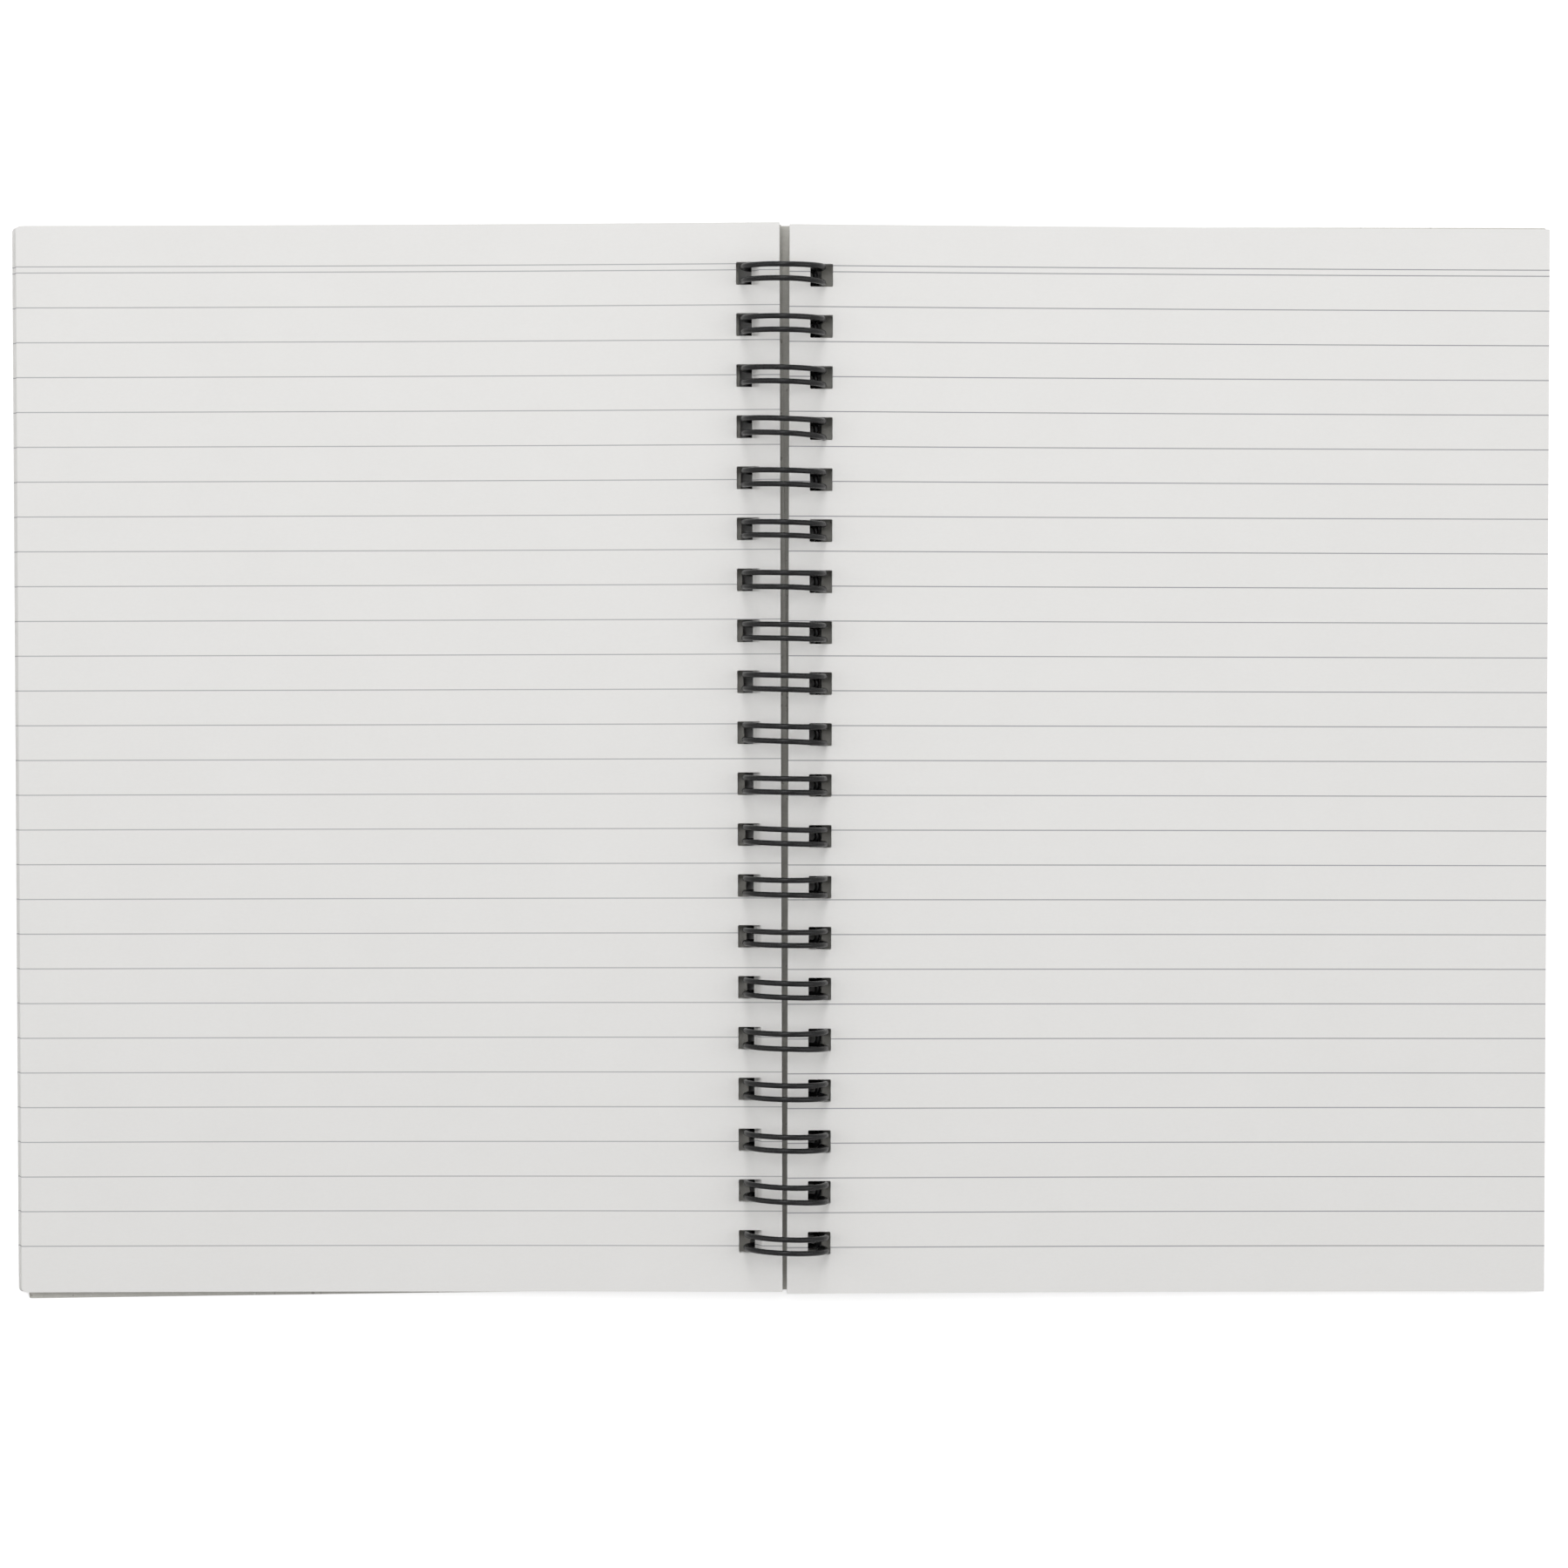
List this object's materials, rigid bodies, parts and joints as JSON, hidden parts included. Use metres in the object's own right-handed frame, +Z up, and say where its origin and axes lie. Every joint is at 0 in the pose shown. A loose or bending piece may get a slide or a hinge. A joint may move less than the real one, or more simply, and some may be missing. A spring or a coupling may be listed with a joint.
{
  "type": "open wire-bound notebook",
  "caption": "Ruled notebook lying open at the middle, its sheets and board covers held by a row of closed twin wire loops along the spine.",
  "frame": {"origin": "on the table under the middle of the spine", "axes": "+X across the spread to the right, +Y up the page along the spine, +Z up from the table"},
  "size_m": [0.2566, 0.1794, 0.0143],
  "materials": {
    "cover_board": "plain grey board, matt",
    "ruled_paper": "off-white uncoated writing paper with thin grey ruled lines",
    "coated_wire": "black nylon coated wire, half gloss"
  },
  "bodies": {
    "base": {"back_cover": "cover_board", "twin_loop_wire": "coated_wire"},
    "front_cover": {"front_cover": "cover_board"},
    "left_pages": {"left_pages": "ruled_paper"},
    "right_pages": {"right_pages": "ruled_paper"}
  },
  "joints": [
    {"name": "front_cover_hinge", "type": "hinge", "parent": "base", "child": "front_cover", "pos_m": [0, 0, 0.00715], "axis": [-0.0035, 1, 0], "range_deg": [0, 180]},
    {"name": "left_pages_turn", "type": "hinge", "parent": "front_cover", "child": "left_pages", "pos_m": [0, 0, 0.00715], "axis": [-0.0035, 1, 0], "range_deg": [0, 180]},
    {"name": "right_pages_turn", "type": "hinge", "parent": "base", "child": "right_pages", "pos_m": [0, 0, 0.00715], "axis": [0.0035, -1, 0], "range_deg": [0, 180]}
  ]
}
